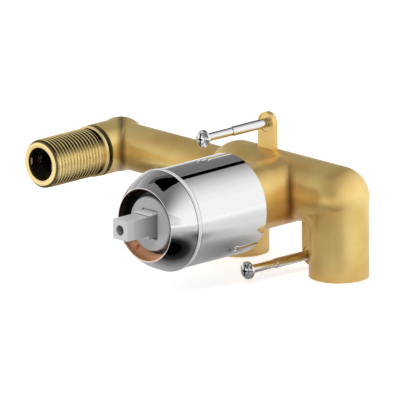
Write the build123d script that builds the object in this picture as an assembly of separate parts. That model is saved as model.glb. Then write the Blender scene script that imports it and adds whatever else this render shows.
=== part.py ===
from build123d import *
import math
import os

# Concealed single-lever mixer valve, in millimetres.
# -Y comes out of the wall along the valve axis, +X runs right along the cross pipe, +Z is up.
# The origin is on the valve axis, at the rear edge of the trim sleeve.

# Cast body: cross pipe, inlet legs and neck
PIPE_SETBACK = 34.4
PIPE_RADIUS = 13.6
PIPE_RISE = 1.5
INLET_SPACING = 60.0
LEG_RADIUS = 12.8
LEG_DROP = 32.6
LEG_BEND = 17.2
LEG_BEND_INSET = 0.4
NECK_RADIUS = 14.4

# Cast body: branch to the spout
BRANCH_REACH = 101.2
BRANCH_RADIUS = 9.9
ELBOW_RADIUS = 11.6
STUB_RADIUS = 11.1
STUB_LENGTH = 15.2

# Cast body: waterways
LEG_THREAD_RADIUS = 9.32
LEG_THREAD_DEPTH = 16.0
LEG_MOUTH_CHAMFER = 1.2
LEG_WAY_RADIUS = 7.0
LEG_WAY_TOP = 3.5
INLET_WAY_RADIUS = 4.6
INLET_WAY_DROP = 6.0
OUTLET_WAY_RADIUS = 4.4
OUTLET_WAY_RISE = 7.4
OUTLET_WAY_BEND = 22.0
OUTLET_WAY_RUN = 24.0
BRANCH_WAY_RADIUS = 6.8
STUB_WAY_RADIUS = 7.0
CORE_SWELL = 0.3

# Cast body: ears for the cover plate screws
EAR_OFFSET = 13.3
EAR_REACH = 26.2
EAR_TIP_RADIUS = 4.6
EAR_FOOT_HALF = 4.9
EAR_FRONT = 1.0
EAR_THICKNESS = 2.7
EAR_SPOT_RADIUS = 3.9
EAR_SPOT_DEPTH = 0.25

# Cast body: cartridge chamber
CHAMBER_WALL = 2.5
CHAMBER_THROAT = 2.0
CHAMBER_REAR = 8.0
CHAMBER_FLOOR = 13.6
MOUTH_LENGTH = 7.0
MOUTH_STEP = 0.4
MOUTH_ENTRY = 0.5

# Trim sleeve and its O-rings
SLEEVE_CLEARANCE = 0.4
SLEEVE_WALL = 1.0
SLEEVE_SETBACK = 3.2
SLEEVE_EDGE = 0.25
O_RING_SECTION = 1.8
O_RING_ROOM = 0.4
O_RING_REAR = 13.0
O_RING_FRONT_SETBACK = 8.4

# Dome cap
CAP_GAP = 0.2
CAP_BEAD_PROUD = 0.5
CAP_BEAD = 1.8
CAP_BEAD_ROUND = 0.45
CAP_DEPTH = 12.7
CAP_SHOULDER_PROUD = 0.1
CAP_TAPER = 5.6
CAP_LIP = 0.6
CAP_BULGE = 0.7
CAP_RIM_WALL = 1.6
CAP_RIDGES = 3
CAP_RIDGE_PITCH = 1.4
CAP_RIDGE_HEIGHT = 0.4

# Cartridge body
CARTRIDGE_RADIUS = 17.5
CARTRIDGE_GAP = 0.2
SEAL_STAND = 0.6
SEAL_POCKET = 0.6
SEAL_WIDTH = 1.2
SEAL_INSET = 0.2
BASE_THICKNESS = 4.0
BASE_RIM = 2.0
BASE_PEG_RADIUS = 1.5
BASE_PEG_LENGTH = 1.5
BASE_PEG_INSET = 4.0
BASE_PEG_ANGLE = 31.0
PEG_GAP = 0.1
HOUSING_WALL = 1.6
SHOULDER_THICKNESS = 3.0
HOUSING_NECK_WALL = 1.5
HOUSING_NECK = 9.9

# Ceramic discs and their carrier
DISC_THICKNESS = 3.6
FIXED_DISC_INSET = 2.4
MOVING_DISC_INSET = 2.0
DISC_PORT_SHARE = 0.25
PORT_CIRCLE_SHARE = 0.56
INLET_PORT_ANGLE = 35.0
PORT_EASE = 0.4
MIXING_MARGIN = 0.9
MIXING_RISE = 3.6
MIXING_DEPTH = 2.0
CARRIER_THICKNESS = 3.0
TONGUE_WIDTH = 9.0
TONGUE_HEIGHT = 1.8
TONGUE_INSET = 2.0

# Rotor, its pin and ring
ROTOR_FLANGE_GAP = 0.5
ROTOR_STEP = 3.6
ROTOR_FLANGE = 3.6
ROTOR_STAND = 13.1
ROTOR_EDGE = 0.4
RUNNING_GAP = 0.05
SLIDING_GAP = 0.2
ROTOR_RING_SECTION = 1.4
ROTOR_RING_PLACE = 5.0
PIN_DEPTH = 3.6
PIN_RADIUS = 1.25
PIN_GAP = 0.03
PIN_INSET = 0.6

# Cartridge nut
NUT_THREAD_STEP = 0.9
NUT_COLLAR_STEP = 1.8
NUT_COLLAR = 4.2
NUT_SLOTS = 4
NUT_SLOT_WIDTH = 1.6
NUT_SLOT_DEPTH = 1.6
NUT_SLOT_ANGLE = 38.0
THREAD_GAP = 0.05

# Lever stem
STEM_WIDTH = 8.8
STEM_HEIGHT = 8.7
STEM_RISE = 0.5
STEM_REACH = 17.7
STEM_TIP = 4.0
STEM_TIP_INSET = 0.1
STEM_BLOCK_STEP = 0.05
STEM_BLOCK_RISE = 0.75
STEM_BLOCK_REACH = 4.8
STEM_SADDLE_RADIUS = 6.4
STEM_EDGE = 0.35
STEM_HOLE_RADIUS = 2.2
STEM_HOLE_DEPTH = 8.0
STEM_ROOT_RADIUS = 2.6
STEM_ROOT = 10.0
STEM_TAIL_RADIUS = 1.6
STEM_BALL_RADIUS = 2.2
BALL_GAP = 0.08
BALL_CLEAR = 0.4
TILT_LIMIT = 13.0
TILT_ROOM = 0.25

# Spout nipple and its seal
NIPPLE_RADIUS = 10.48
NIPPLE_CHAMFER = 1.08
NIPPLE_PITCH = 1.814
NIPPLE_THREAD_DEPTH = 1.1
NIPPLE_CREST = 0.4
NIPPLE_BORE = 6.95
NIPPLE_SEAT_BORE = 5.0
NIPPLE_SEAT_DEPTH = 5.6
NIPPLE_REACH = 13.3
NIPPLE_COLLAR_RADIUS = 10.9
NIPPLE_COLLAR = 2.2
NIPPLE_RELIEF = 0.9
NIPPLE_RELIEF_RADIUS = 9.3
SPIGOT_RADIUS = 8.0
SPIGOT_LENGTH = 9.0
NIPPLE_RIB_WIDTH = 3.0
NIPPLE_RIB_HEIGHT = 1.0
NIPPLE_RIB_SETBACK = 1.0
NIPPLE_SEAL = 1.0
NIPPLE_SEAL_RADIUS = 10.1

# Cover plate screws and their spacer tubes
SCREW_RADIUS = 1.8
SCREW_THREAD_RADIUS = 1.6
SCREW_THREAD = 6.0
SCREW_END_GAP = 0.1
HEAD_RADIUS = 3.8
HEAD_RIM = 1.0
HEAD_HEIGHT = 2.5
HEAD_SETBACK = 2.8
HEAD_SLOT_WIDTH = 0.8
HEAD_SLOT_DEPTH = 1.1
HEAD_CROSS_RADIUS = 1.2
TUBE_RADIUS = 2.12
TUBE_GAP = 0.02
TUBE_FRONT = 12.9
TUBE_EAR_GAP = 0.9

# Places that several pieces share, forward of the sleeve's rear edge unless a name says otherwise
HALF_SPACING = INLET_SPACING / 2
CHAMBER_BORE = CARTRIDGE_RADIUS + CARTRIDGE_GAP
CHAMBER_RADIUS = CHAMBER_BORE + CHAMBER_WALL
SLEEVE_BORE = CHAMBER_RADIUS + SLEEVE_CLEARANCE
SLEEVE_RADIUS = SLEEVE_BORE + SLEEVE_WALL
NUT_THREAD_RADIUS = CHAMBER_BORE + NUT_THREAD_STEP
NUT_COLLAR_RADIUS = NUT_THREAD_RADIUS - NUT_COLLAR_STEP
HOUSING_BORE = CARTRIDGE_RADIUS - HOUSING_WALL
ROTOR_FLANGE_RADIUS = HOUSING_BORE - ROTOR_FLANGE_GAP
ROTOR_RADIUS = ROTOR_FLANGE_RADIUS - ROTOR_STEP
FIXED_DISC_RADIUS = HOUSING_BORE - FIXED_DISC_INSET
MOVING_DISC_RADIUS = FIXED_DISC_RADIUS - MOVING_DISC_INSET
MIXING_RADIUS = MOVING_DISC_RADIUS - MIXING_MARGIN - MIXING_RISE
DISC_PORT_RADIUS = DISC_PORT_SHARE * FIXED_DISC_RADIUS
PORT_RADIUS = DISC_PORT_RADIUS + PORT_EASE
PORT_CIRCLE = PORT_CIRCLE_SHARE * FIXED_DISC_RADIUS
PORT_SPREAD = PORT_CIRCLE * math.cos(math.radians(INLET_PORT_ANGLE))
INLET_PORT_DROP = PORT_CIRCLE * math.sin(math.radians(INLET_PORT_ANGLE))
PEG_CIRCLE = CARTRIDGE_RADIUS - BASE_PEG_INSET
PEG_OFFSET = PEG_CIRCLE * math.cos(math.radians(BASE_PEG_ANGLE))
PEG_RISE = PEG_CIRCLE * math.sin(math.radians(BASE_PEG_ANGLE))
BASE_REAR = CHAMBER_FLOOR + SEAL_STAND
BASE_FRONT = BASE_REAR + BASE_THICKNESS
MOVING_DISC_REAR = BASE_FRONT + DISC_THICKNESS
CARRIER_REAR = MOVING_DISC_REAR + DISC_THICKNESS
ROTOR_REAR = CARRIER_REAR + CARRIER_THICKNESS + RUNNING_GAP
SHOULDER_REAR = ROTOR_REAR + ROTOR_FLANGE + RUNNING_GAP
SHOULDER_FRONT = SHOULDER_REAR + SHOULDER_THICKNESS
ROTOR_FRONT = SHOULDER_FRONT + ROTOR_STAND
PIVOT = ROTOR_FRONT - PIN_DEPTH
BALL_CENTRE = CARRIER_REAR + BALL_CLEAR + STEM_BALL_RADIUS
STEM_TIP_WIDTH = STEM_WIDTH - 2 * STEM_TIP_INSET
STEM_BLOCK_WIDTH = STEM_WIDTH + 2 * STEM_BLOCK_STEP
STEM_BLOCK_HEIGHT = STEM_HEIGHT + 2 * STEM_BLOCK_RISE
HOUSING_NECK_RADIUS = ROTOR_RADIUS + RUNNING_GAP + HOUSING_NECK_WALL
CHAMBER_MOUTH = SHOULDER_FRONT + MOUTH_LENGTH - MOUTH_ENTRY
SLEEVE_LENGTH = CHAMBER_MOUTH - SLEEVE_SETBACK
O_RING_FRONT = SLEEVE_LENGTH - O_RING_FRONT_SETBACK
CAP_REAR = SLEEVE_LENGTH + CAP_GAP
CAP_FRONT = CAP_REAR + CAP_DEPTH
STUB_FACE = PIPE_SETBACK - STUB_LENGTH
EAR_FACE = PIPE_SETBACK - EAR_FRONT
EAR_BACK = EAR_FACE + EAR_THICKNESS
PORTS = {
    "left": (-PORT_SPREAD, -INLET_PORT_DROP),
    "right": (PORT_SPREAD, -INLET_PORT_DROP),
    "outlet": (0, PORT_CIRCLE),
}
SCREWS = {"upper": (-EAR_OFFSET, EAR_REACH), "lower": (EAR_OFFSET, -EAR_REACH)}


def turned(*outline):
    """A solid turned about the valve axis, from corners given as (radius, distance forward)."""
    corners = [(radius, -forward) for radius, forward in outline]
    return revolve(make_face(Polyline(*corners, close=True)), axis=Axis.Y)


def rod(start, end, radius):
    """A round bar between two points."""
    start, end = Vector(*start), Vector(*end)
    along = end - start
    return Solid.make_cylinder(radius, along.length, Plane(origin=start, z_dir=along))


def round_ended(start, end, radius):
    """A round bar whose two ends are half balls centred on the points."""
    start, end = Vector(*start), Vector(*end)
    along = end - start
    side = radius * math.sqrt(0.5)
    tail = ThreePointArc((0, 0, -radius), (side, 0, -side), (radius, 0, 0))
    wall = Line((radius, 0, 0), (radius, 0, along.length))
    end = along.length
    nose = ThreePointArc((radius, 0, end), (side, 0, end + side), (0, 0, end + radius))
    middle = Line((0, 0, end + radius), (0, 0, -radius))
    profile = make_face([tail, wall, nose, middle])
    return Plane(origin=start, z_dir=along).location * revolve(profile, axis=Axis.Z)


def bar(rear, front, radius, x=0, z=0):
    """A round bar along the valve axis, or beside it, between two distances forward."""
    return rod((x, -rear, z), (x, -front, z), radius)


def block(width, height, rear, front):
    """A rectangular bar centred on the valve axis, between two distances forward."""
    return Pos(0, -(rear + front) / 2, 0) * Box(width, front - rear, height)


def o_ring(radius, section, forward):
    """A ring about the valve axis, of mean radius and section diameter."""
    return Pos(0, -forward, 0) * Rot(90, 0, 0) * Torus(radius, section / 2)


def valve_body():
    """One sand casting: cross pipe, two inlet legs, spout branch, neck, chamber and two ears."""
    return body_outside() - waterways() - chamber_hollow() - screw_holes()


def body_outside():
    ball_reach = HALF_SPACING + LEG_RADIUS - PIPE_RADIUS
    pipe_ends = [(side * ball_reach, PIPE_SETBACK, PIPE_RISE) for side in (-1, 1)]
    outside = round_ended(*pipe_ends, PIPE_RADIUS)
    for side in (-1, 1):
        leg_top = (side * HALF_SPACING, PIPE_SETBACK, PIPE_RISE)
        leg_foot = (side * HALF_SPACING, PIPE_SETBACK, -LEG_DROP)
        outside += [rod(leg_top, leg_foot, LEG_RADIUS), leg_bend(side)]
    outside += round_ended((0, PIPE_SETBACK, 0), (0, 0, 0), NECK_RADIUS)
    outside += chamber_outside()
    outside += branch_outside()
    for name in SCREWS:
        outside += ear(*SCREWS[name])
    return outside


def leg_bend(side):
    """The rounded inner corner between an inlet leg and the cross pipe."""
    bend_height = PIPE_RISE - LEG_BEND
    turn = Axis((side * (HALF_SPACING - LEG_BEND), PIPE_SETBACK, bend_height), (0, side, 0))
    section = Plane((side * HALF_SPACING, PIPE_SETBACK, bend_height), z_dir=(0, 0, 1))
    return revolve(section * Circle(LEG_RADIUS - LEG_BEND_INSET), axis=turn, revolution_arc=-90)


def chamber_outside():
    mouth_radius = CHAMBER_RADIUS - MOUTH_STEP
    mouth_rear = CHAMBER_MOUTH - MOUTH_LENGTH
    outside = turned(
        (0, CHAMBER_THROAT),
        (NECK_RADIUS, CHAMBER_THROAT),
        (CHAMBER_RADIUS, CHAMBER_REAR),
        (CHAMBER_RADIUS, mouth_rear),
        (mouth_radius, mouth_rear),
        (mouth_radius, CHAMBER_MOUTH),
        (0, CHAMBER_MOUTH),
    )
    groove_root = SLEEVE_BORE - O_RING_SECTION
    half_groove = (O_RING_SECTION + O_RING_ROOM) / 2
    for place in (O_RING_REAR, O_RING_FRONT):
        groove = bar(place - half_groove, place + half_groove, CHAMBER_RADIUS + O_RING_SECTION)
        outside -= groove - bar(place - half_groove, place + half_groove, groove_root)
    return outside


def branch_outside():
    elbow = (-BRANCH_REACH, PIPE_SETBACK, 0)
    outside = rod((-HALF_SPACING, PIPE_SETBACK, 0), elbow, BRANCH_RADIUS)
    return outside + stub(ELBOW_RADIUS, STUB_RADIUS)


def stub(ball_radius, bar_radius):
    """A ball at the spout elbow with a bar from it to the stub's face, outside or cored."""
    meet = math.sqrt(ball_radius ** 2 - bar_radius ** 2)
    back = (0, PIPE_SETBACK + ball_radius)
    join = (bar_radius, PIPE_SETBACK - meet)
    ball = ThreePointArc(back, (ball_radius, PIPE_SETBACK), join)
    rest = Polyline(join, (bar_radius, STUB_FACE), (0, STUB_FACE), back)
    return Pos(-BRANCH_REACH, 0, 0) * revolve(make_face([ball, rest]), axis=Axis.Y)


def ear(x, z):
    """A flat cast ear with a rounded tip and a machined spot round its screw hole."""
    foot = [(x - EAR_FOOT_HALF, 0), (x + EAR_FOOT_HALF, 0)]
    shank = [*foot, (x + EAR_TIP_RADIUS, z), (x - EAR_TIP_RADIUS, z)]
    outline = make_face(Polyline(*shank, close=True)) + Pos(x, z) * Circle(EAR_TIP_RADIUS)
    back = Plane((0, EAR_BACK, 0), x_dir=(1, 0, 0), z_dir=(0, -1, 0))
    plate = extrude(back * outline, amount=EAR_THICKNESS)
    return plate - bar(-EAR_FACE - EAR_SPOT_DEPTH, -EAR_FACE, EAR_SPOT_RADIUS, x, z)


def waterways():
    """Both inlets run to the chamber floor; the mixed outlet passes above the left one to the branch."""
    ways = []
    for side in (-1, 1):
        leg_x = side * HALF_SPACING
        port_x = side * PORT_SPREAD
        thread_top = LEG_THREAD_DEPTH - LEG_DROP
        foot = (leg_x, PIPE_SETBACK, -LEG_DROP)
        ways.append(rod(foot, (leg_x, PIPE_SETBACK, thread_top), LEG_THREAD_RADIUS))
        ways.append(rod(foot, (leg_x, PIPE_SETBACK, -LEG_WAY_TOP), LEG_WAY_RADIUS))
        wide = LEG_THREAD_RADIUS + LEG_MOUTH_CHAMFER
        ways.append(Solid.make_cone(wide, LEG_THREAD_RADIUS, LEG_MOUTH_CHAMFER, Plane(foot)))
        inlet_ends = [(x, PIPE_SETBACK, -INLET_WAY_DROP) for x in (leg_x, port_x)]
        ways.append(rod(*inlet_ends, INLET_WAY_RADIUS))
        ways.append(bar(-PIPE_SETBACK, CHAMBER_FLOOR, PORT_RADIUS, port_x, -INLET_PORT_DROP))
    bend = (-OUTLET_WAY_BEND, PIPE_SETBACK, OUTLET_WAY_RISE)
    branch_start = (-OUTLET_WAY_BEND - OUTLET_WAY_RUN, PIPE_SETBACK, 0)
    elbow = (-BRANCH_REACH, PIPE_SETBACK, 0)
    ways.append(bar(-PIPE_SETBACK, CHAMBER_FLOOR, PORT_RADIUS, 0, PORT_CIRCLE))
    ways.append(round_ended((0, PIPE_SETBACK, OUTLET_WAY_RISE), bend, OUTLET_WAY_RADIUS))
    ways.append(rod(bend, branch_start, OUTLET_WAY_RADIUS))
    ways.append(rod(branch_start, elbow, BRANCH_WAY_RADIUS))
    ways.append(stub(STUB_WAY_RADIUS + CORE_SWELL, STUB_WAY_RADIUS))
    socket_end = STUB_FACE + SPIGOT_LENGTH + CARTRIDGE_GAP
    ways.append(bar(-socket_end, -STUB_FACE, SPIGOT_RADIUS + THREAD_GAP, -BRANCH_REACH))
    return ways


def chamber_hollow():
    hollow = bar(CHAMBER_FLOOR, CHAMBER_MOUTH, CHAMBER_BORE)
    hollow += bar(SHOULDER_FRONT - MOUTH_ENTRY, CHAMBER_MOUTH, NUT_THREAD_RADIUS + THREAD_GAP)
    for side in (-1, 1):
        depth = BASE_PEG_LENGTH + PEG_GAP
        radius = BASE_PEG_RADIUS + PEG_GAP
        hollow += bar(CHAMBER_FLOOR - depth, BASE_REAR, radius, side * PEG_OFFSET, PEG_RISE)
    return hollow


def screw_holes():
    holes = []
    for x, z in SCREWS.values():
        holes.append(bar(-EAR_BACK, -EAR_FACE, SCREW_THREAD_RADIUS + THREAD_GAP, x, z))
    return holes


def trim_sleeve():
    edge = SLEEVE_EDGE
    return turned(
        (SLEEVE_BORE, 0),
        (SLEEVE_RADIUS - edge, 0),
        (SLEEVE_RADIUS, edge),
        (SLEEVE_RADIUS, SLEEVE_LENGTH - edge),
        (SLEEVE_RADIUS - edge, SLEEVE_LENGTH),
        (SLEEVE_BORE, SLEEVE_LENGTH),
    )


def sleeve_o_ring(place):
    return o_ring(SLEEVE_BORE - O_RING_SECTION / 2, O_RING_SECTION, place)


def dome_cap():
    """Spun cap: a rolled bead over the sleeve's end, a bulged cone and a ridged inner wall."""
    bead_radius = SLEEVE_RADIUS + CAP_BEAD_PROUD
    bead_front = CAP_REAR + CAP_BEAD
    nose_radius = SLEEVE_RADIUS - CAP_TAPER
    shoulder = Vector(SLEEVE_RADIUS + CAP_SHOULDER_PROUD, -bead_front)
    nose = Vector(nose_radius, -CAP_FRONT)
    slope = (nose - shoulder).normalized()
    crown = (shoulder + nose) / 2 + Vector(-slope.Y, slope.X) * CAP_BULGE
    land_radius = NUT_COLLAR_RADIUS + THREAD_GAP
    land_rear = CHAMBER_MOUTH + SLIDING_GAP
    land_front = nut_face()
    lip_radius = nose_radius - CAP_LIP
    rim_bore = SLEEVE_RADIUS - CAP_RIM_WALL
    inner_wall = [
        (lip_radius, -CAP_FRONT),
        (lip_radius, -(CAP_FRONT - CAP_LIP)),
        (land_radius, -land_front),
        (land_radius, -land_rear),
        (rim_bore, -land_rear),
        (rim_bore, -CAP_REAR),
        (SLEEVE_RADIUS, -CAP_REAR),
    ]
    outer_wall = Polyline((SLEEVE_RADIUS, -CAP_REAR), (SLEEVE_RADIUS, -bead_front), (shoulder.X, shoulder.Y))
    dome = ThreePointArc(shoulder, crown, nose)
    inside = Polyline((nose.X, nose.Y), *inner_wall)
    cap = revolve(make_face([outer_wall, dome, inside]), axis=Axis.Y)
    rolled = bar(CAP_REAR, bead_front, bead_radius)
    rolled = fillet(rolled.edges().filter_by(GeomType.CIRCLE), CAP_BEAD_ROUND)
    cap += rolled - bar(CAP_REAR, bead_front, SLEEVE_RADIUS - CAP_RIM_WALL / 2)
    for ridge in range(CAP_RIDGES):
        front = CAP_FRONT - CAP_LIP - ridge * CAP_RIDGE_PITCH
        middle = front - CAP_RIDGE_PITCH / 2
        cap -= bar(middle, front, lip_radius + CAP_RIDGE_HEIGHT)
    return cap


def nut_face():
    return CHAMBER_MOUTH + NUT_COLLAR


def cartridge_nut():
    bore = HOUSING_NECK_RADIUS + CARTRIDGE_GAP
    face = nut_face()
    nut = turned(
        (bore, SHOULDER_FRONT),
        (NUT_THREAD_RADIUS, SHOULDER_FRONT),
        (NUT_THREAD_RADIUS, CHAMBER_MOUTH),
        (NUT_COLLAR_RADIUS, CHAMBER_MOUTH),
        (NUT_COLLAR_RADIUS, face),
        (bore + 2 * MOUTH_ENTRY, face),
        (bore, face - 2 * MOUTH_ENTRY),
    )
    middle = Pos(0, -(face - NUT_SLOT_DEPTH / 2), 0)
    for slot in range(NUT_SLOTS):
        turn = Rot(0, NUT_SLOT_ANGLE + slot * 360 / NUT_SLOTS, 0)
        nut -= middle * turn * Pos(NUT_COLLAR_RADIUS, 0, 0) * Box(
            2 * (NUT_COLLAR_RADIUS - bore), NUT_SLOT_DEPTH, NUT_SLOT_WIDTH)
    return nut


def cartridge_housing():
    neck_bore = ROTOR_RADIUS + RUNNING_GAP
    neck_front = SHOULDER_FRONT + HOUSING_NECK
    return turned(
        (HOUSING_BORE, BASE_FRONT),
        (CARTRIDGE_RADIUS, BASE_FRONT),
        (CARTRIDGE_RADIUS, SHOULDER_FRONT),
        (HOUSING_NECK_RADIUS, SHOULDER_FRONT),
        (HOUSING_NECK_RADIUS, neck_front),
        (neck_bore, neck_front),
        (neck_bore, SHOULDER_REAR),
        (HOUSING_BORE, SHOULDER_REAR),
    )


def cartridge_base():
    """Carries the fixed disc in a rim, seals on the chamber floor and is kept from turning by two pegs."""
    rim_front = BASE_FRONT + BASE_RIM
    base = bar(BASE_REAR, BASE_FRONT, CARTRIDGE_RADIUS)
    base += bar(BASE_FRONT, rim_front, HOUSING_BORE) - bar(BASE_FRONT, rim_front, FIXED_DISC_RADIUS)
    for side in (-1, 1):
        base += bar(CHAMBER_FLOOR - BASE_PEG_LENGTH, BASE_REAR, BASE_PEG_RADIUS, side * PEG_OFFSET, PEG_RISE)
    for x, z in PORTS.values():
        base -= bar(BASE_REAR, BASE_FRONT, PORT_RADIUS, x, z)
        base -= bar(BASE_REAR, BASE_REAR + SEAL_POCKET, PORT_RADIUS + SEAL_INSET + SEAL_WIDTH, x, z)
    return base


def base_seal(x, z):
    bore = PORT_RADIUS + SEAL_INSET
    front = BASE_REAR + SEAL_POCKET
    return bar(CHAMBER_FLOOR, front, bore + SEAL_WIDTH, x, z) - bar(CHAMBER_FLOOR, front, bore, x, z)


def fixed_ceramic_disc():
    disc = bar(BASE_FRONT, MOVING_DISC_REAR, FIXED_DISC_RADIUS)
    for x, z in PORTS.values():
        disc -= bar(BASE_FRONT, MOVING_DISC_REAR, DISC_PORT_RADIUS, x, z)
    return disc


def moving_ceramic_disc():
    disc = bar(MOVING_DISC_REAR, CARRIER_REAR, MOVING_DISC_RADIUS)
    return disc - bar(MOVING_DISC_REAR, MOVING_DISC_REAR + MIXING_DEPTH, MIXING_RADIUS, 0, MIXING_RISE)


def disc_carrier():
    """Slides with the moving disc; its tongue runs in the rotor and its socket takes the stem's ball."""
    front = CARRIER_REAR + CARRIER_THICKNESS
    carrier = bar(CARRIER_REAR, front, MOVING_DISC_RADIUS)
    tongue_length = 2 * (MOVING_DISC_RADIUS - TONGUE_INSET)
    carrier += block(TONGUE_WIDTH, tongue_length, front, front + TONGUE_HEIGHT)
    return carrier - bar(CARRIER_REAR, front + TONGUE_HEIGHT, STEM_BALL_RADIUS + BALL_GAP)


def rotor():
    rotor_radius_edge = ROTOR_RADIUS - ROTOR_EDGE
    turned_part = turned(
        (0, ROTOR_REAR),
        (ROTOR_FLANGE_RADIUS, ROTOR_REAR),
        (ROTOR_FLANGE_RADIUS, ROTOR_REAR + ROTOR_FLANGE),
        (ROTOR_RADIUS, ROTOR_REAR + ROTOR_FLANGE),
        (ROTOR_RADIUS, ROTOR_FRONT - ROTOR_EDGE),
        (rotor_radius_edge, ROTOR_FRONT),
        (0, ROTOR_FRONT),
    )
    saddle = STEM_SADDLE_RADIUS + SLIDING_GAP
    slot_width = STEM_BLOCK_WIDTH + 2 * SLIDING_GAP
    tilt = math.radians(TILT_LIMIT)
    mouth_half = STEM_BLOCK_HEIGHT / 2 / math.cos(tilt) + PIN_DEPTH * math.tan(tilt) + TILT_ROOM
    groove_front = ROTOR_REAR + TONGUE_HEIGHT + SLIDING_GAP
    groove_width = TONGUE_WIDTH + 2 * SLIDING_GAP
    turned_part -= block(groove_width, 3 * ROTOR_FLANGE_RADIUS, ROTOR_REAR, groove_front)
    turned_part -= block(slot_width, 2 * saddle, ROTOR_REAR, PIVOT)
    turned_part -= block(slot_width, 2 * mouth_half, PIVOT, ROTOR_FRONT)
    turned_part -= cross_bar(slot_width, saddle)
    turned_part -= cross_bar(3 * ROTOR_RADIUS, PIN_RADIUS)
    ring_place = SHOULDER_FRONT + ROTOR_RING_PLACE
    half_ring = ROTOR_RING_SECTION / 2
    groove = bar(ring_place - half_ring, ring_place + half_ring, ROTOR_FLANGE_RADIUS)
    return turned_part - (groove - bar(ring_place - half_ring, ring_place + half_ring, rotor_ring_root()))


def cross_bar(length, radius):
    """A round bar along X, centred on the stem's pivot."""
    return rod((-length / 2, -PIVOT, 0), (length / 2, -PIVOT, 0), radius)


def rotor_ring_root():
    return ROTOR_RADIUS + RUNNING_GAP / 2 - ROTOR_RING_SECTION


def rotor_o_ring():
    middle = rotor_ring_root() + ROTOR_RING_SECTION / 2
    return o_ring(middle, ROTOR_RING_SECTION, SHOULDER_FRONT + ROTOR_RING_PLACE)


def pivot_pin():
    return cross_bar(2 * (ROTOR_RADIUS - PIN_INSET), PIN_RADIUS)


def stem():
    """Square lever stem on a round saddle, with a tail ball that moves the disc carrier."""
    block_front = ROTOR_FRONT + STEM_BLOCK_REACH
    front = ROTOR_FRONT + STEM_REACH
    tip_rear = front - STEM_TIP
    raised = Pos(0, 0, STEM_RISE)
    shank = fillet(block(STEM_WIDTH, STEM_HEIGHT, PIVOT, tip_rear).edges().filter_by(Axis.Y), STEM_EDGE)
    tip = block(STEM_TIP_WIDTH, STEM_HEIGHT, tip_rear, front)
    tip = fillet(tip.edges().filter_by(Axis.Y) + tip.faces().sort_by(Axis.Y)[0].edges(), STEM_EDGE)
    root = block(STEM_BLOCK_WIDTH, STEM_BLOCK_HEIGHT, PIVOT, block_front)
    root = fillet(root.edges().filter_by(Axis.Y), STEM_EDGE)
    lever = raised * (shank + tip) + root + cross_bar(STEM_BLOCK_WIDTH, STEM_SADDLE_RADIUS)
    lever += bar(PIVOT - STEM_ROOT, PIVOT, STEM_ROOT_RADIUS) + bar(BALL_CENTRE, PIVOT, STEM_TAIL_RADIUS)
    lever += Pos(0, -BALL_CENTRE, 0) * Sphere(STEM_BALL_RADIUS)
    lever -= cross_bar(3 * STEM_BLOCK_WIDTH, PIN_RADIUS + PIN_GAP)
    return lever - bar(front - STEM_HOLE_DEPTH, front, STEM_HOLE_RADIUS, 0, STEM_RISE)


def thread_profile(rear, front):
    """Side of the nipple's thread: crests with a narrow land and a V groove after each, one pitch apart."""
    turns = int((front - rear - NIPPLE_CREST) // NIPPLE_PITCH)
    points = [(NIPPLE_RADIUS, rear)]
    for turn in range(turns):
        crest_end = front - (turns - turn) * NIPPLE_PITCH
        next_crest = crest_end + NIPPLE_PITCH - NIPPLE_CREST
        points += [
            (NIPPLE_RADIUS, crest_end),
            (NIPPLE_RADIUS - NIPPLE_THREAD_DEPTH, (crest_end + next_crest) / 2),
            (NIPPLE_RADIUS, next_crest),
        ]
    return points + [(NIPPLE_RADIUS, front)]


def spout_nipple():
    """Threaded nipple, screwed into the stub against a flat seal, with two key ribs in its bore."""
    seal_front = NIPPLE_SEAL - STUB_FACE
    collar_front = seal_front + NIPPLE_COLLAR
    thread_rear = collar_front + NIPPLE_RELIEF
    seat = NIPPLE_REACH - NIPPLE_SEAT_DEPTH
    spigot_end = -(STUB_FACE + SPIGOT_LENGTH)
    nipple = turned(
        (NIPPLE_SEAT_BORE, spigot_end),
        (SPIGOT_RADIUS, spigot_end),
        (SPIGOT_RADIUS, seal_front),
        (NIPPLE_COLLAR_RADIUS, seal_front),
        (NIPPLE_COLLAR_RADIUS, collar_front),
        (NIPPLE_RELIEF_RADIUS, collar_front),
        (NIPPLE_RELIEF_RADIUS, thread_rear),
        *thread_profile(thread_rear, NIPPLE_REACH - NIPPLE_CHAMFER),
        (NIPPLE_RADIUS - NIPPLE_CHAMFER, NIPPLE_REACH),
        (NIPPLE_BORE, NIPPLE_REACH),
        (NIPPLE_BORE, seat),
        (NIPPLE_SEAT_BORE, seat),
    )
    rib_front = NIPPLE_REACH - NIPPLE_RIB_SETBACK
    ribs = block(2 * NIPPLE_BORE, NIPPLE_RIB_WIDTH, seat, rib_front) & bar(seat, rib_front, NIPPLE_BORE)
    ribs -= block(2 * (NIPPLE_BORE - NIPPLE_RIB_HEIGHT), 2 * NIPPLE_RIB_WIDTH, seat, rib_front)
    return Pos(-BRANCH_REACH, 0, 0) * (nipple + ribs)


def nipple_seal():
    rear = -STUB_FACE
    front = rear + NIPPLE_SEAL
    return bar(rear, front, NIPPLE_SEAL_RADIUS, -BRANCH_REACH) - bar(rear, front, SPIGOT_RADIUS, -BRANCH_REACH)


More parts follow.
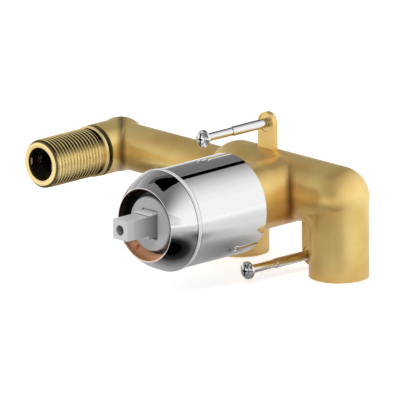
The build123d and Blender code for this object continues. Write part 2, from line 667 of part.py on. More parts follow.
def plate_screw(x, z):
    """Long pan-head screw, screwed into an ear from the front."""
    end = SCREW_END_GAP - EAR_BACK
    thread_front = end + SCREW_THREAD
    head_front = HEAD_SETBACK + HEAD_HEIGHT
    shank = bar(end, thread_front, SCREW_THREAD_RADIUS) + bar(thread_front, HEAD_SETBACK, SCREW_RADIUS)
    rim = HEAD_SETBACK + HEAD_RIM
    sphere_radius = (HEAD_RADIUS ** 2 + (head_front - rim) ** 2) / (2 * (head_front - rim))
    ball = Pos(0, sphere_radius - head_front, 0) * Sphere(sphere_radius)
    head = bar(HEAD_SETBACK, head_front, HEAD_RADIUS) & ball
    slot_rear = head_front - HEAD_SLOT_DEPTH
    head -= block(HEAD_SLOT_WIDTH, 2 * HEAD_RADIUS, slot_rear, head_front)
    head -= block(2 * HEAD_CROSS_RADIUS, HEAD_SLOT_WIDTH, slot_rear, head_front)
    return Pos(x, 0, z) * (shank + head)


def spacer_tube(x, z):
    rear = TUBE_EAR_GAP - EAR_FACE
    return bar(rear, -TUBE_FRONT, TUBE_RADIUS, x, z) - bar(rear, -TUBE_FRONT, SCREW_RADIUS + TUBE_GAP, x, z)


def pieces():
    built = {
        "valve_body": valve_body(),
        "spout_nipple": spout_nipple(),
        "nipple_seal": nipple_seal(),
        "trim_sleeve": trim_sleeve(),
        "sleeve_o_ring_rear": sleeve_o_ring(O_RING_REAR),
        "sleeve_o_ring_front": sleeve_o_ring(O_RING_FRONT),
        "dome_cap": dome_cap(),
        "cartridge_nut": cartridge_nut(),
        "cartridge_housing": cartridge_housing(),
        "cartridge_base": cartridge_base(),
        "fixed_ceramic_disc": fixed_ceramic_disc(),
        "moving_ceramic_disc": moving_ceramic_disc(),
        "disc_carrier": disc_carrier(),
        "rotor": rotor(),
        "rotor_o_ring": rotor_o_ring(),
        "pivot_pin": pivot_pin(),
        "stem": stem(),
    }
    for name, (x, z) in PORTS.items():
        built["base_seal_" + name] = base_seal(x, z)
    for name, (x, z) in SCREWS.items():
        built["plate_screw_" + name] = plate_screw(x, z)
        built["spacer_tube_" + name] = spacer_tube(x, z)
    return built


os.makedirs("parts", exist_ok=True)
for node, solid in pieces().items():
    export_step(solid, f"parts/{node}.step")
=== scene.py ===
import math

import bmesh
import bpy
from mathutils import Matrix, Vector

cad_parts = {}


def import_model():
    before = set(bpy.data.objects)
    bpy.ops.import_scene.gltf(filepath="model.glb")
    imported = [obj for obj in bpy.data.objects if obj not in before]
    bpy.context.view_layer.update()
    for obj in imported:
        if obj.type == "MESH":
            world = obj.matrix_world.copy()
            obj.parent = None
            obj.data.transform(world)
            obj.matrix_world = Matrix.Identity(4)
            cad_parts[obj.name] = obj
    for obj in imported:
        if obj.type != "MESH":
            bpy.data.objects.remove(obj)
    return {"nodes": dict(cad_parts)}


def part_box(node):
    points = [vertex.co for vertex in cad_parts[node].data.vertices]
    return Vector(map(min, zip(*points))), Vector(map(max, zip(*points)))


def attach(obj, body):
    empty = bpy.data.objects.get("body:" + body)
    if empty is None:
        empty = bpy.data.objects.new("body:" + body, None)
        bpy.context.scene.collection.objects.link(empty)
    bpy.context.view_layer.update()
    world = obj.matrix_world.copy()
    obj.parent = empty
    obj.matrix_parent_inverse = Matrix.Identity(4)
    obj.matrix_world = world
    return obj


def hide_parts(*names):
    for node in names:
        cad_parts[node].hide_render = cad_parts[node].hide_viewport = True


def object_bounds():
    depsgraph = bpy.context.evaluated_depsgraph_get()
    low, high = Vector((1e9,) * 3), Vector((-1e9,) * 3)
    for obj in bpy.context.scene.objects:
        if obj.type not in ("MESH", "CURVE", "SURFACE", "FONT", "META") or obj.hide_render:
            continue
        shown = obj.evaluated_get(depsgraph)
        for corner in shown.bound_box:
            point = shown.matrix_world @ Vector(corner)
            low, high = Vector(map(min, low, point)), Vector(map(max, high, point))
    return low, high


# Everything is in metres: -Y comes out of the wall, +X runs right, +Z is up.
MM = 0.001
X_AXIS = (1, 0, 0)
Y_AXIS = (0, 1, 0)
Z_AXIS = (0, 0, 1)
SLANT = 0.7071
DIAGONAL = (SLANT, SLANT, 0)

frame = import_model()
cad_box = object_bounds()
nodes = frame["nodes"]


# Places on the part

def front_middle(name):
    """Middle of a node's front face."""
    low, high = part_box(name)
    return ((low[0] + high[0]) / 2, low[1], (low[2] + high[2]) / 2)


NIPPLE = front_middle("spout_nipple")
NIPPLE_FACE = NIPPLE[1]
NIPPLE_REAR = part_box("spout_nipple")[1][1]
COLLAR_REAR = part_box("nipple_seal")[0][1]
PIPE_Y = 34.4 * MM
ELBOW_SEAM = SLANT * (NIPPLE[0] + PIPE_Y) + 0.3 * MM
NECK_SEAM = 24.9 * MM
CAP_MOUTH_CENTRE = (0, -51.3 * MM, 0)
CAP_MOUTH_RADIUS = 15.75 * MM
CAP_WIDENING = 0.25
CAP_MOUTH = (CAP_MOUTH_CENTRE, CAP_MOUTH_RADIUS, CAP_WIDENING)
BEAD_FRONT = -40.75 * MM
BEAD_REAR = -38.3 * MM
STEM_TIP = -61.9 * MM
STEM_ROOT = -48.2 * MM
STEM_HALF_WIDTH = 4.35 * MM


# Node helpers

def new_material(name):
    """A new node material with its Principled shader."""
    material = bpy.data.materials.new(name)
    material.use_nodes = True
    return material, material.node_tree, material.node_tree.nodes["Principled BSDF"]


def add(tree, kind, **values):
    """A node of that kind with some of its inputs or settings given."""
    node = tree.nodes.new(kind)
    for key, value in values.items():
        if hasattr(node, key):
            setattr(node, key, value)
        else:
            node.inputs[key].default_value = value
    return node


def feed(tree, socket, value):
    """Gives an input the output of another node, or else a plain value."""
    if isinstance(value, bpy.types.NodeSocket):
        tree.links.new(value, socket)
    else:
        socket.default_value = value


def number(tree, operation, first, second):
    """Result of a calculation with two numbers, each the output of another node or a plain value."""
    node = add(tree, "ShaderNodeMath", operation=operation)
    feed(tree, node.inputs[0], first)
    feed(tree, node.inputs[1], second)
    return node.outputs[0]


def product(tree, first, *others):
    """Numbers multiplied."""
    for other in others:
        first = number(tree, "MULTIPLY", first, other)
    return first


def vector(tree, operation, first, *others):
    """Result of a calculation with one or two vectors."""
    node = add(tree, "ShaderNodeVectorMath", operation=operation)
    for socket, value in zip(node.inputs, (first, *others)):
        feed(tree, socket, value)
    return node.outputs["Value" if operation in ("DOT_PRODUCT", "LENGTH") else "Vector"]


def own_place(tree):
    """A point's place in the part's own frame."""
    return add(tree, "ShaderNodeTexCoord").outputs["Object"]


def noise(tree, scale, detail, stretch=(1, 1, 1)):
    """Noise in the part's own frame, with features of about 1/scale metres."""
    mapping = add(tree, "ShaderNodeMapping", Scale=stretch)
    texture = add(tree, "ShaderNodeTexNoise", Scale=scale, Detail=detail)
    tree.links.new(own_place(tree), mapping.inputs["Vector"])
    tree.links.new(mapping.outputs["Vector"], texture.inputs["Vector"])
    return texture.outputs["Fac"]


def ramp(tree, value, low, high, from_min=0.3, from_max=0.7):
    """Maps a value to a range of numbers, level beyond its ends. By default it suits a noise."""
    node = add(tree, "ShaderNodeMapRange")
    node.inputs["From Min"].default_value = from_min
    node.inputs["From Max"].default_value = from_max
    node.inputs["To Min"].default_value = low
    node.inputs["To Max"].default_value = high
    tree.links.new(value, node.inputs["Value"])
    return node.outputs["Result"]


def mixed(tree, share, first, second):
    """First colour where the share is 0, second where it is 1.

    A colour is the output of another node or three numbers.
    """
    mix = add(tree, "ShaderNodeMix", data_type="RGBA")
    tree.links.new(share, mix.inputs["Factor"])
    for name, colour in (("A", first), ("B", second)):
        feed(tree, mix.inputs[name], (*colour, 1) if isinstance(colour, tuple) else colour)
    return mix.outputs["Result"]


def along_axis(tree, axis, start, end, low=0.0, high=1.0, both_sides=False):
    """Goes from one number to another between two places along an axis of the part.

    With both sides, it does so on each side of the part's middle.
    """
    place = own_place(tree)
    if both_sides:
        place = vector(tree, "ABSOLUTE", place)
    return ramp(tree, vector(tree, "DOT_PRODUCT", place, axis), low, high, start, end)


def band(tree, start, end):
    """1 between two places along Y, 0 outside."""
    return product(tree, along_axis(tree, Y_AXIS, start - 0.1 * MM, start),
                   along_axis(tree, Y_AXIS, end, end + 0.1 * MM, 1.0, 0.0))


def inside(tree, centre, radius, widening=0.0):
    """1 within a radius of an axis along Y, 0 outside.

    The radius holds at the centre's place along Y and widens towards the rear.
    """
    offset = vector(tree, "SUBTRACT", own_place(tree), centre)
    distance = vector(tree, "LENGTH", vector(tree, "MULTIPLY", offset, (1, 0, 1)))
    limit = number(tree, "ADD", vector(tree, "DOT_PRODUCT", offset, (0, widening, 0)), radius)
    return number(tree, "LESS_THAN", distance, limit)


# Colours, most of them painted light and shade

def grey(tone):
    """A colour without a hue."""
    return (tone, tone, tone)


# Painted light: copper glow from the brass below in the cartridge's opening, also the nut's colour
PAINTED_COPPER_GLOW = (1.0, 0.62, 0.38)
COPPER_RING = (0.22, 0.10, 0.05)
# Painted shade deep in bores and in the upper part of the cartridge's opening
BORE_SHADE = (0.012, 0.009, 0.008)
# Painted shade in the nipple's thread roots and round its face
ROOT_SHADE = (0.022, 0.018, 0.006)
RIM_SHADE = (0.03, 0.025, 0.01)
# Painted shade in hollows and creases of the cast body
CREASE_SHADE = (0.24, 0.10, 0.03)
# Painted shade along the elbow's crease
SEAM_SHADE = (0.16, 0.08, 0.03)
# Painted warm shade round the neck where it meets the cross pipe
NECK_WARM_SHADE = (0.78, 0.38, 0.09)


# Painted light and shade that a material adds to its colour

def hollow_shade(tree, colour, reach, tone):
    """Painted shade: takes a colour towards a darker tone, up to 85 %, where surfaces meet in a hollow.
    """
    near = add(tree, "ShaderNodeAmbientOcclusion", Distance=reach)
    return mixed(tree, ramp(tree, near.outputs["AO"], 0.85, 0.0, 0.15, 0.62), colour, tone)


def shade_line(tree, colour, axis, middle, half, tone, reach=None):
    """A soft line of painted shade across an axis of the part, up to 80 %, given by its middle and half
    its width.

    A reach fades it out between two places along another axis.
    """
    share = product(tree, along_axis(tree, axis, middle - half, middle),
                    along_axis(tree, axis, middle, middle + half, 0.8, 0.0))
    if reach:
        share = product(tree, share, along_axis(tree, *reach))
    return mixed(tree, share, colour, tone)


def upper_shadow(tree, colour):
    """Painted shade: keeps a colour low in the cartridge's opening and darkens it above."""
    return mixed(tree, along_axis(tree, Z_AXIS, -11 * MM, -8.5 * MM), colour, BORE_SHADE)


def cap_bore(tree, colour, centre, radius, widening):
    """Painted light and shade inside the cap: copper light low down, shade above, and faint rings round
    the wall.
    """
    rings = ramp(tree, noise(tree, 1300, 1.0, (0.02, 1, 0.02)), 0.0, 0.7, 0.54, 0.60)
    wall = mixed(tree, rings, upper_shadow(tree, PAINTED_COPPER_GLOW), COPPER_RING)
    return mixed(tree, inside(tree, centre, radius, widening), colour, wall)


def painted_bore_shade(tree, colour, centre, radius):
    """Painted shade: leaves a bore dark."""
    return mixed(tree, inside(tree, centre, radius), colour, BORE_SHADE)


def thread_shadow(tree, colour, centre, root_radius):
    """Painted shade: dark roots of the thread, deeper above and below, a dark rim round the face, a
    black rear edge.
    """
    deeper = along_axis(tree, Z_AXIS, 3 * MM, 6.8 * MM, 0.1, 1.0, both_sides=True)
    behind_rim = along_axis(tree, Y_AXIS, NIPPLE_FACE + 0.9 * MM, NIPPLE_FACE + 1.0 * MM)
    roots = product(tree, inside(tree, centre, root_radius), behind_rim, deeper)
    colour = mixed(tree, roots, colour, ROOT_SHADE)
    rim = product(tree, along_axis(tree, Y_AXIS, NIPPLE_FACE + 0.02 * MM, NIPPLE_FACE + 0.12 * MM),
                  along_axis(tree, Y_AXIS, NIPPLE_FACE + 0.8 * MM, NIPPLE_FACE + 0.9 * MM, 0.85, 0.0))
    colour = mixed(tree, rim, colour, RIM_SHADE)
    rear_edge = along_axis(tree, Y_AXIS, COLLAR_REAR - 1.25 * MM, COLLAR_REAR - 1.2 * MM)
    return mixed(tree, rear_edge, colour, grey(0.008))


def recess(tree, colour, centre, radius):
    """Shadow in the cross recess of a screw head whose face is at the centre."""
    depth = band(tree, centre[1] + 0.45 * MM, centre[1] + 1.9 * MM)
    return mixed(tree, product(tree, inside(tree, centre, radius), depth), colour, grey(0.03))


def side_shade(tree, colour, half_width, tip, root):
    """Darkens the sides of a bar towards its root and leaves its top and front as they are."""
    side = along_axis(tree, X_AXIS, half_width - 0.1 * MM, half_width, both_sides=True)
    deeper = along_axis(tree, Y_AXIS, tip, root, 0.12, 0.74)
    behind_tip = along_axis(tree, Y_AXIS, tip - 0.05 * MM, tip)
    return mixed(tree, product(tree, side, deeper, behind_tip), colour, grey(0.03))


def screw_hole(tree, colour, centre, radius):
    """Shadow in a hole along Y, deeper on its right."""
    deeper = along_axis(tree, X_AXIS, -radius, 0.5 * radius, 0.35, 0.92)
    return mixed(tree, product(tree, inside(tree, centre, radius), deeper), colour, grey(0.01))


# Materials

PATCH_SCALE = 60
COAT_ROUGHNESS = 0.25


def finish(name, light, dark, metallic, rough, rough_spread, grain=1500, depth=0.0, stretch=(1, 1, 1),
           coat=0.0, changes=(), duller=()):
    """A material with slow colour patches, uneven gloss and a fine grain in relief.

    Changes are made to the colour in turn, each a function and its values. Each row of duller is the
    share of the mirror that is left at a place, and the function and values that give that place.
    """
    material, tree, shader = new_material(name)
    colour = mixed(tree, ramp(tree, noise(tree, PATCH_SCALE, 2.0), 0.0, 1.0), light, dark)
    for change, *values in changes:
        colour = change(tree, colour, *values)
    tree.links.new(colour, shader.inputs["Base Color"])
    fine = noise(tree, grain, 4.0, stretch)
    gloss = ramp(tree, fine, rough - rough_spread, rough + rough_spread)
    tree.links.new(gloss, shader.inputs["Roughness"])
    if depth:
        bump = add(tree, "ShaderNodeBump", Strength=0.5, Distance=depth * MM)
        tree.links.new(fine, bump.inputs["Height"])
        tree.links.new(bump.outputs["Normal"], shader.inputs["Normal"])
    mirror = metallic
    for share, where, *values in duller:
        mirror = product(tree, ramp(tree, where(tree, *values), 1.0, share, 0.0, 1.0), mirror)
    feed(tree, shader.inputs["Metallic"], mirror)
    shader.inputs["Coat Weight"].default_value = coat
    shader.inputs["Coat Roughness"].default_value = COAT_ROUGHNESS
    return material


# Cast brass with painted shade in its hollows and along the elbow and neck creases, and a painted warm
# shade round the neck
CAST_BRASS = finish("cast_brass", (1.0, 0.76, 0.28), (0.86, 0.55, 0.17), 0.72, 0.34, 0.05,
                    depth=0.03, stretch=(0.25, 0.25, 2.0), coat=0.2,
                    changes=[(hollow_shade, 10 * MM, CREASE_SHADE),
                             (shade_line, DIAGONAL, ELBOW_SEAM, 2.4 * MM, SEAM_SHADE),
                             (shade_line, DIAGONAL, NECK_SEAM, 14 * MM, NECK_WARM_SHADE,
                              (Z_AXIS, -8 * MM, 9 * MM, 1.0, 0.0)),
                             (shade_line, DIAGONAL, NECK_SEAM, 2.8 * MM, CREASE_SHADE,
                              (Y_AXIS, 22 * MM, 30 * MM, 1.0, 0.0))])
# The nut: painted copper glow, darkened above by painted shade
TURNED_BRASS = finish("turned_brass", PAINTED_COPPER_GLOW, PAINTED_COPPER_GLOW, 0.25, 0.18, 0.04,
                      grain=900, depth=0.01, stretch=(0.2, 3, 0.2), changes=[(upper_shadow,)])
# Nipple brass with painted shade in its bore, its thread roots, round its face and at its rear edge
NIPPLE_BRASS = finish("nipple_brass", (1.0, 0.80, 0.37), (0.98, 0.75, 0.31), 0.60, 0.12, 0.03,
                      changes=[(painted_bore_shade, NIPPLE, 7.1 * MM), (thread_shadow, NIPPLE, 10.15 * MM)],
                      duller=[(0.417, inside, NIPPLE, 7.1 * MM)])
RIB_COPPER = finish("rib_copper", (0.86, 0.47, 0.24), (0.78, 0.40, 0.19), 1.0, 0.2, 0.04)
CHROME = finish("chrome", grey(0.91), (0.89, 0.89, 0.90), 1.0, 0.04, 0.012)
# Cap chrome with painted copper light and shade in its mouth and painted shadow lines at the bead's
# edges
CAP_CHROME = finish("cap_chrome", grey(0.91), (0.89, 0.89, 0.90), 1.0, 0.04, 0.012,
                    changes=[(cap_bore, *CAP_MOUTH),
                             (shade_line, Y_AXIS, BEAD_REAR, 0.45 * MM, grey(0.02)),
                             (shade_line, Y_AXIS, BEAD_FRONT, 0.35 * MM, grey(0.02))],
                    duller=[(0.25, inside, *CAP_MOUTH),
                            (0.35, band, BEAD_FRONT + 0.35 * MM, BEAD_REAR - 0.3 * MM)])
ZINC_STEEL = finish("zinc_steel", grey(0.90), (0.85, 0.85, 0.86), 1.0, 0.12, 0.04,
                    changes=[(recess, front_middle("plate_screw_upper"), 2.3 * MM),
                             (recess, front_middle("plate_screw_lower"), 2.3 * MM)])
GREY_PLASTIC = finish("grey_plastic", grey(0.50), (0.47, 0.47, 0.48), 0.0, 0.36, 0.05, depth=0.015)
DARK_PLASTIC = finish("dark_plastic", grey(0.03), grey(0.022), 0.0, 0.4, 0.05)
STEM_PAINT = finish("stem_paint", grey(0.64), grey(0.60), 0.0, 0.34, 0.04, depth=0.01,
                    changes=[(side_shade, STEM_HALF_WIDTH, STEM_TIP, STEM_ROOT),
                             (screw_hole, (0, 0, 0.5 * MM), 2.24 * MM)])
# Painted highlight: a lighter copy of the stem's paint for the ledge's lit edge
LEDGE_HIGHLIGHT = finish("ledge_painted_highlight", grey(0.86), grey(0.82), 0.0, 0.34, 0.04)
WHITE_PLASTIC = finish("white_plastic", (0.78, 0.78, 0.76), (0.74, 0.74, 0.72), 0.0, 0.38, 0.05)
CERAMIC = finish("ceramic", (0.86, 0.85, 0.81), (0.83, 0.82, 0.78), 0.0, 0.15, 0.03)
RUBBER = finish("black_rubber", grey(0.012), (0.020, 0.019, 0.018), 0.0, 0.55, 0.08, depth=0.02)

FINISHES = {
    "valve_body": CAST_BRASS,
    "spout_nipple": NIPPLE_BRASS,
    "nipple_seal": RUBBER,
    "trim_sleeve": CHROME,
    "sleeve_o_ring_rear": RUBBER,
    "sleeve_o_ring_front": RUBBER,
    "dome_cap": CAP_CHROME,
    "cartridge_nut": TURNED_BRASS,
    "cartridge_housing": DARK_PLASTIC,
    "cartridge_base": WHITE_PLASTIC,
    "fixed_ceramic_disc": CERAMIC,
    "moving_ceramic_disc": CERAMIC,
    "disc_carrier": WHITE_PLASTIC,
    "rotor": GREY_PLASTIC,
    "rotor_o_ring": RUBBER,
    "pivot_pin": ZINC_STEEL,
    "stem": STEM_PAINT,
    "base_seal_left": RUBBER,
    "base_seal_right": RUBBER,
    "base_seal_outlet": RUBBER,
    "plate_screw_upper": ZINC_STEEL,
    "plate_screw_lower": ZINC_STEEL,
    "spacer_tube_upper": ZINC_STEEL,
    "spacer_tube_lower": ZINC_STEEL,
}


def paint(piece, material):
    """Gives every slot of a piece that material."""
    for place in piece.material_slots:
        place.material = material
    if not piece.material_slots:
        piece.data.materials.append(material)


for node_name, material in FINISHES.items():
    paint(nodes[node_name], material)


# Mesh helpers

def object_of(name, bm):
    """An object in the scene with that bmesh as its mesh."""
    mesh = bpy.data.meshes.new(name)
    bm.to_mesh(mesh)
    bm.free()
    piece = bpy.data.objects.new(name, mesh)
    bpy.context.scene.collection.objects.link(piece)
    return piece


def riding_piece(name, bm, material, body, smooth):
    """Turns a bmesh into a named piece that rides on a body, smooth up to an angle in degrees."""
    bmesh.ops.recalc_face_normals(bm, faces=bm.faces)
    piece = object_of(name, bm)
    piece.data.materials.append(material)
    piece.data.shade_smooth()
    piece.data.set_sharp_from_angle(angle=math.radians(smooth))
    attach(piece, body)
    return piece


def join_loops(bm, near, far):
    """A closed band of faces between two loops of as many corners."""
    for i in range(len(near)):
        j = (i + 1) % len(near)
        bm.faces.new((near[i], near[j], far[j], far[i]))


def closed_skin(bm, rows, centre):
    """Joins rows of (radii, y) round an axis along Y into bands, and the last row to the first."""
    loops = []
    for radii, y in rows:
        loop = []
        for i, radius in enumerate(radii):
            angle = 2 * math.pi * i / len(radii)
            x = centre[0] + radius * math.cos(angle)
            z = centre[2] + radius * math.sin(angle)
            loop.append(bm.verts.new((x, y, z)))
        loops.append(loop)
    for near, far in zip(loops, loops[1:] + loops[:1]):
        join_loops(bm, near, far)


def bar(name, outline, front, rear, material, body):
    """A bar along Y between two places, given by the (x, z) corners of its outline."""
    bm = bmesh.new()
    near, far = [[bm.verts.new((x, y, z)) for x, z in outline] for y in (front, rear)]
    bm.faces.new(near)
    bm.faces.new(list(reversed(far)))
    join_loops(bm, near, far)
    return riding_piece(name, bm, material, body, 30)


# Raised edge on the stem

LEDGE_OUTLINE = ((-4.4, 4.8), (4.4, 4.8), (4.4, 5.45), (4.25, 5.6), (-4.25, 5.6), (-4.4, 5.45))
LEDGE_ROOM = 1.9 * MM
LEDGE_SETBACK = 12.9 * MM


def ledge():
    """The raised top edge where the stem's block begins, clear of the rotor when the stem rocks."""
    outline = [(x * MM, z * MM) for x, z in LEDGE_OUTLINE]
    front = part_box("stem")[0][1] + LEDGE_SETBACK
    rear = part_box("rotor")[0][1] - LEDGE_ROOM
    # The ledge carries a painted highlight.
    piece = bar("stem_ledge", outline, front, rear, LEDGE_HIGHLIGHT, "stem")


# Spout nipple with its real thread

AROUND = 144
PITCH = 1.814 * MM
STEPS_PER_PITCH = 14
CREST_RADIUS = 10.48 * MM
THREAD_DEPTH = 1.16 * MM
ROOT_RADIUS = 9.3 * MM
CREST_SHARE = 0.06
FLANK_SHARE = 0.88
ROUNDING = 0.25
RUNOUT_SLOPE = 0.9
COLLAR_RADIUS = 10.9 * MM
COLLAR_DEPTH = 2.2 * MM
RELIEF = 0.9 * MM
SHANK_RADIUS = 8.0 * MM
BORE_RADIUS = 5.0 * MM
SOCKET_RADIUS = 6.95 * MM
SOCKET_DEPTH = 5.6 * MM


def thread_radius(y, angle):
    """Radius of a rounded V thread at a place along and round its axis."""
    phase = (y / PITCH + angle / (2 * math.pi)) % 1.0
    height = abs(2 * phase - 1)
    flank = min(max((height - CREST_SHARE) / FLANK_SHARE, 0.0), 1.0)
    soft = flank * flank * (3 - 2 * flank)
    rise = (1 - ROUNDING) * flank + ROUNDING * soft
    return CREST_RADIUS - THREAD_DEPTH + THREAD_DEPTH * rise


def thread_rows(rear):
    """Rows of the thread, cut back by a chamfer at the face and a run-out at its rear."""
    rows = []
    steps = int((rear - NIPPLE_FACE) / PITCH * STEPS_PER_PITCH)
    for k in range(1, steps + 1):
        y = NIPPLE_FACE + (rear - NIPPLE_FACE) * k / steps
        limit = ROOT_RADIUS + min(y - NIPPLE_FACE, RUNOUT_SLOPE * (rear - y))
        rows.append(([min(thread_radius(y, 2 * math.pi * i / AROUND), limit) for i in range(AROUND)], y))
    return rows


def nipple():
    """The threaded nipple as one closed skin, from its front face round to its bore."""
    collar_front = COLLAR_REAR - COLLAR_DEPTH
    thread_rear = collar_front - RELIEF
    socket_end = NIPPLE_FACE + SOCKET_DEPTH
    before_thread = ((SOCKET_RADIUS, NIPPLE_FACE + 0.35 * MM), (SOCKET_RADIUS + 0.3 * MM, NIPPLE_FACE),
                     (ROOT_RADIUS - 0.2 * MM, NIPPLE_FACE), (ROOT_RADIUS, NIPPLE_FACE + 0.05 * MM))
    behind_thread = ((ROOT_RADIUS, thread_rear + 0.05 * MM), (ROOT_RADIUS, collar_front),
                     (COLLAR_RADIUS - 0.2 * MM, collar_front), (COLLAR_RADIUS, collar_front + 0.2 * MM),
                     (COLLAR_RADIUS, COLLAR_REAR - 0.15 * MM), (COLLAR_RADIUS - 0.15 * MM, COLLAR_REAR),
                     (SHANK_RADIUS, COLLAR_REAR), (SHANK_RADIUS, NIPPLE_REAR),
                     (BORE_RADIUS, NIPPLE_REAR), (BORE_RADIUS, socket_end), (SOCKET_RADIUS, socket_end))
    rows = [([radius] * AROUND, y) for radius, y in before_thread]
    rows += thread_rows(thread_rear)
    rows += [([radius] * AROUND, y) for radius, y in behind_thread]
    bm = bmesh.new()
    closed_skin(bm, rows, NIPPLE)
    piece = riding_piece("spout_nipple_threaded", bm, NIPPLE_BRASS, "body", 50)
    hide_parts("spout_nipple")


RIB_FOOT = 7.15
RIB_TOP = ((6.2, 1.5), (5.95, 1.25), (5.95, -1.25), (6.2, -1.5))


def key_rib(name, side):
    """One of the two key ribs in the nipple's bore, with its foot sunk into the wall."""
    corners = [(math.sqrt(RIB_FOOT ** 2 - z * z), z) for z in (-1.5, -0.75, 0.0, 0.75, 1.5)]
    outline = [(NIPPLE[0] + side * x * MM, NIPPLE[2] + z * MM) for x, z in (*corners, *RIB_TOP)]
    piece = bar(name, outline, NIPPLE_FACE + 1.0 * MM, NIPPLE_FACE + 5.75 * MM, RIB_COPPER, "body")


ledge()
nipple()
key_rib("nipple_rib_left", -1)
key_rib("nipple_rib_right", 1)


# Stage helpers

TARGET = (-0.0130, -0.0056, -0.0001)
FLOOR = cad_box[0][2]
RING_CORNERS = 48


def flat_piece(name, outline):
    """A flat stage piece, given by its corners."""
    bm = bmesh.new()
    bm.faces.new([bm.verts.new(corner) for corner in outline])
    piece = object_of(name, bm)
    return piece


def level(corners, height):
    """The corners (x, y) of an outline at one height."""
    return [(x, y, height) for x, y in corners]


def shown_to_camera(tree):
    """1 for the rays that see the background itself: camera, glossy and transmission rays."""
    path = add(tree, "ShaderNodeLightPath")
    seen = number(tree, "MAXIMUM", path.outputs["Is Camera Ray"], path.outputs["Is Glossy Ray"])
    return number(tree, "MAXIMUM", seen, path.outputs["Is Transmission Ray"])


def floor():
    """Plain white floor that keeps the object's soft shadow."""
    piece = flat_piece("floor", level(((-4, -4), (4, -4), (4, 4), (-4, 4)), FLOOR))
    material, tree, shader = new_material("floor_white")
    tree.nodes.remove(shader)
    paper = add(tree, "ShaderNodeBsdfDiffuse", Color=(0.86, 0.86, 0.86, 1))
    glow = add(tree, "ShaderNodeEmission", Strength=0.62)
    both = add(tree, "ShaderNodeAddShader")
    choice = add(tree, "ShaderNodeMixShader")
    tree.links.new(paper.outputs[0], both.inputs[0])
    tree.links.new(glow.outputs[0], both.inputs[1])
    tree.links.new(shown_to_camera(tree), choice.inputs[0])
    tree.links.new(paper.outputs[0], choice.inputs[1])
    tree.links.new(both.outputs[0], choice.inputs[2])
    tree.links.new(choice.outputs[0], tree.nodes["Material Output"].inputs["Surface"])
    piece.data.materials.append(material)


def world():
    """White surroundings, a little dimmer for the light that falls on matt surfaces."""
    background = bpy.data.worlds.new("studio")
    bpy.context.scene.world = background
    background.use_nodes = True
    tree = background.node_tree
    shader = tree.nodes["Background"]
    shader.inputs["Color"].default_value = (1, 1, 1, 1)
    tree.links.new(ramp(tree, shown_to_camera(tree), 0.75, 1.0, 0.0, 1.0), shader.inputs["Strength"])


def lamp(name, place, target, size, power):
    """A square soft box aimed at a point."""
    light = bpy.data.lights.new(name, "AREA")
    light.size = size
    light.energy = power
    box = bpy.data.objects.new(name, light)
    box.location = place
    box.rotation_euler = (Vector(target) - Vector(place)).to_track_quat("-Z", "Y").to_euler()
    box.visible_glossy = False
    bpy.context.scene.collection.objects.link(box)


def card(name, outline):
    """A flat card that only reflections see. Gives its node tree, which still has no surface."""
    piece = flat_piece(name, outline)
    piece.visible_camera = False
    piece.visible_diffuse = False
    piece.visible_shadow = False
    material, tree, shader = new_material(name)
    tree.nodes.remove(shader)
    piece.data.materials.append(material)
    return tree


def veil(tree, share):
    """Surface of a card: black, and lets a share of the white behind it through."""
    dark = add(tree, "ShaderNodeEmission", Strength=0.0)
    clear = add(tree, "ShaderNodeBsdfTransparent")
    mix = add(tree, "ShaderNodeMixShader")
    feed(tree, mix.inputs[0], share)
    tree.links.new(dark.outputs[0], mix.inputs[1])
    tree.links.new(clear.outputs[0], mix.inputs[2])
    tree.links.new(mix.outputs[0], tree.nodes["Material Output"].inputs["Surface"])


def faded(tree, value, stops):
    """A share that follows a value through stops of (value, share)."""
    low, high = stops[0][0], stops[-1][0]
    fade = add(tree, "ShaderNodeValToRGB")
    elements = fade.color_ramp.elements
    while len(elements) < len(stops):
        elements.new(0.5)
    for element, (at, share) in zip(elements, stops):
        element.position = (at - low) / (high - low)
        element.color = (*grey(share), 1)
    tree.links.new(ramp(tree, value, 0.0, 1.0, low, high), fade.inputs["Fac"])
    return fade.outputs["Color"]


def even_card(name, outline, share):
    """Card that lets the same share of the white through all over."""
    veil(card(name, outline), share)


def slope_card(name, outline, axis, stops):
    """Card whose share of white changes along an axis."""
    tree = card(name, outline)
    veil(tree, faded(tree, vector(tree, "DOT_PRODUCT", own_place(tree), axis), stops))


def ring_card(name, centre, radius, stops, lean=(0, 0)):
    """Level card whose share of white changes with the distance from its middle.

    It changes more slowly on the side that it leans to.
    """
    corners = []
    for i in range(RING_CORNERS):
        angle = 2 * math.pi * i / RING_CORNERS
        corners.append((centre[0] + radius * math.cos(angle),
                        centre[1] + radius * math.sin(angle)))
    tree = card(name, level(corners, centre[2]))
    offset = vector(tree, "SUBTRACT", own_place(tree), centre)
    back = vector(tree, "DOT_PRODUCT", offset, (-lean[0], -lean[1], 0))
    veil(tree, faded(tree, number(tree, "ADD", vector(tree, "LENGTH", offset), back), stops))


# Stage: floor, world, lamp, and the cards that give the metal its dark bands

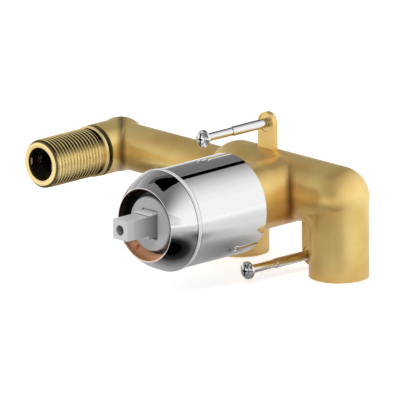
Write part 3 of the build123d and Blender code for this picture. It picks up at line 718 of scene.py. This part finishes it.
CEILING_CORNERS = ((-4, -3), (3, -3), (3, 3), (-4, 3))
CEILING_STOPS = ((-3.0, 0.72), (-1.8, 0.68), (-1.2, 0.58), (-0.9, 0.48), (-0.7, 0.34),
                 (-0.5, 0.24), (-0.3, 0.20), (0.0, 0.17), (0.05, 0.20), (0.13, 0.30),
                 (0.24, 0.47), (0.36, 0.66), (0.53, 0.84), (0.75, 0.94), (1.2, 1.0))
BLACK_CORNERS = ((0.01, -0.17), (0.005, 0.05), (-0.03, 0.2), (-0.06, 0.3), (-0.165, 0.5), (-0.2, 0.62),
                 (-0.26, 0.62), (-0.25, 0.5), (-0.15, 0.3), (-0.12, 0.19), (-0.17, 0.10), (-0.28, 0.045),
                 (-0.34, 0.0), (-0.31, -0.05), (-0.12, -0.13), (-0.03, -0.17))
SOFT_CORNERS = ((-0.34, 0.0), (-0.28, 0.045), (-0.17, 0.10), (-0.12, 0.19), (-0.22, 0.19), (-0.33, 0.12),
                (-0.43, 0.07), (-0.46, 0.0), (-0.43, -0.09), (-0.31, -0.05))
LEG_STOPS = ((0.0, 0.08), (0.010, 0.16), (0.018, 0.5), (0.030, 0.86), (0.05, 1.0), (0.15, 1.0))
FLOOR_STOPS = ((0.0, 0.0), (0.021, 0.0), (0.025, 0.04), (0.028, 0.08), (0.032, 0.18), (0.037, 0.23),
               (0.043, 0.32), (0.048, 0.42), (0.06, 0.48), (0.09, 0.60), (0.11, 0.66), (0.16, 0.66),
               (0.26, 0.72), (0.5, 0.76), (3.0, 0.8))
UNDER_STOPS = ((0.0, 0.36), (0.013, 0.62), (0.022, 0.95), (0.06, 1.0))
SPOUT_STOPS = ((0.0, 0.03), (0.016, 0.05), (0.03, 0.3), (0.055, 0.75), (0.1, 1.0))
RIGHT_STOPS = ((0.0, 0.62), (0.06, 0.66), (0.16, 0.78), (0.34, 0.95), (0.45, 1.0), (0.7, 1.0))
FRONT_STOPS = ((-0.4, 0.72), (1.6, 0.72), (2.2, 0.78), (4.0, 1.0))
LEFT_OUTLINE = [(-1.2, y, z) for y, z in ((0.1, -0.02), (2.4, -0.02), (2.4, 0.5), (0.1, 0.5))]
FRONT_OUTLINE = [(x, -1.2, z) for x, z in ((-0.4, -0.02), (4.0, -0.02), (4.0, 0.9), (-0.4, 0.9))]

floor()
world()
lamp("key", (0.35, -0.75, 0.9), TARGET, 0.5, 4)

# Overhead cards: dark above the object, lighter towards the right and the far left
slope_card("ceiling_card", level(CEILING_CORNERS, 0.5), (1.0, 0.6, 0.0), CEILING_STOPS)
even_card("black_card", level(BLACK_CORNERS, 0.49), 0.0)
even_card("soft_card", level(SOFT_CORNERS, 0.489), 0.45)

# Cards just above the floor, each at its own height
ring_card("leg_card", (0.066, -0.004, FLOOR + 0.5 * MM), 0.15, LEG_STOPS, lean=(0.45, -0.45))
ring_card("floor_card", (0.027, -0.060, FLOOR + 0.2 * MM), 3.0, FLOOR_STOPS, lean=(0.24, -0.18))
ring_card("under_card", (0.019, -0.001, FLOOR + 0.3 * MM), 0.06, UNDER_STOPS)
ring_card("spout_card", (NIPPLE[0] + 6 * MM, 0.0, FLOOR + 0.4 * MM), 0.1, SPOUT_STOPS)
ring_card("right_card", (0.16, -0.10, FLOOR + 0.6 * MM), 0.7, RIGHT_STOPS, lean=(0.45, -0.1))

# Upright cards beside and in front
even_card("left_card", LEFT_OUTLINE, 0.68)
slope_card("front_card", FRONT_OUTLINE, X_AXIS, FRONT_STOPS)


# Camera at the photograph's view

CAMERA_TURN = math.radians(45.4)
CAMERA_RISE = math.radians(15.1)
CAMERA_DISTANCE = 3.0
VIEW_WIDTH = 0.1688


def camera():
    """Parallel view from the front right, a little above."""
    direction = Vector((math.sin(CAMERA_TURN) * math.cos(CAMERA_RISE),
                        -math.cos(CAMERA_TURN) * math.cos(CAMERA_RISE),
                        math.sin(CAMERA_RISE)))
    data = bpy.data.cameras.new("camera")
    data.type = "ORTHO"
    data.ortho_scale = VIEW_WIDTH
    data.clip_start = 0.1
    data.clip_end = 20
    view = bpy.data.objects.new("camera", data)
    view.location = Vector(TARGET) + direction * CAMERA_DISTANCE
    view.rotation_euler = direction.to_track_quat("Z", "Y").to_euler()
    bpy.context.scene.collection.objects.link(view)
    bpy.context.scene.camera = view


camera()
bpy.context.scene.view_settings.view_transform = "Standard"
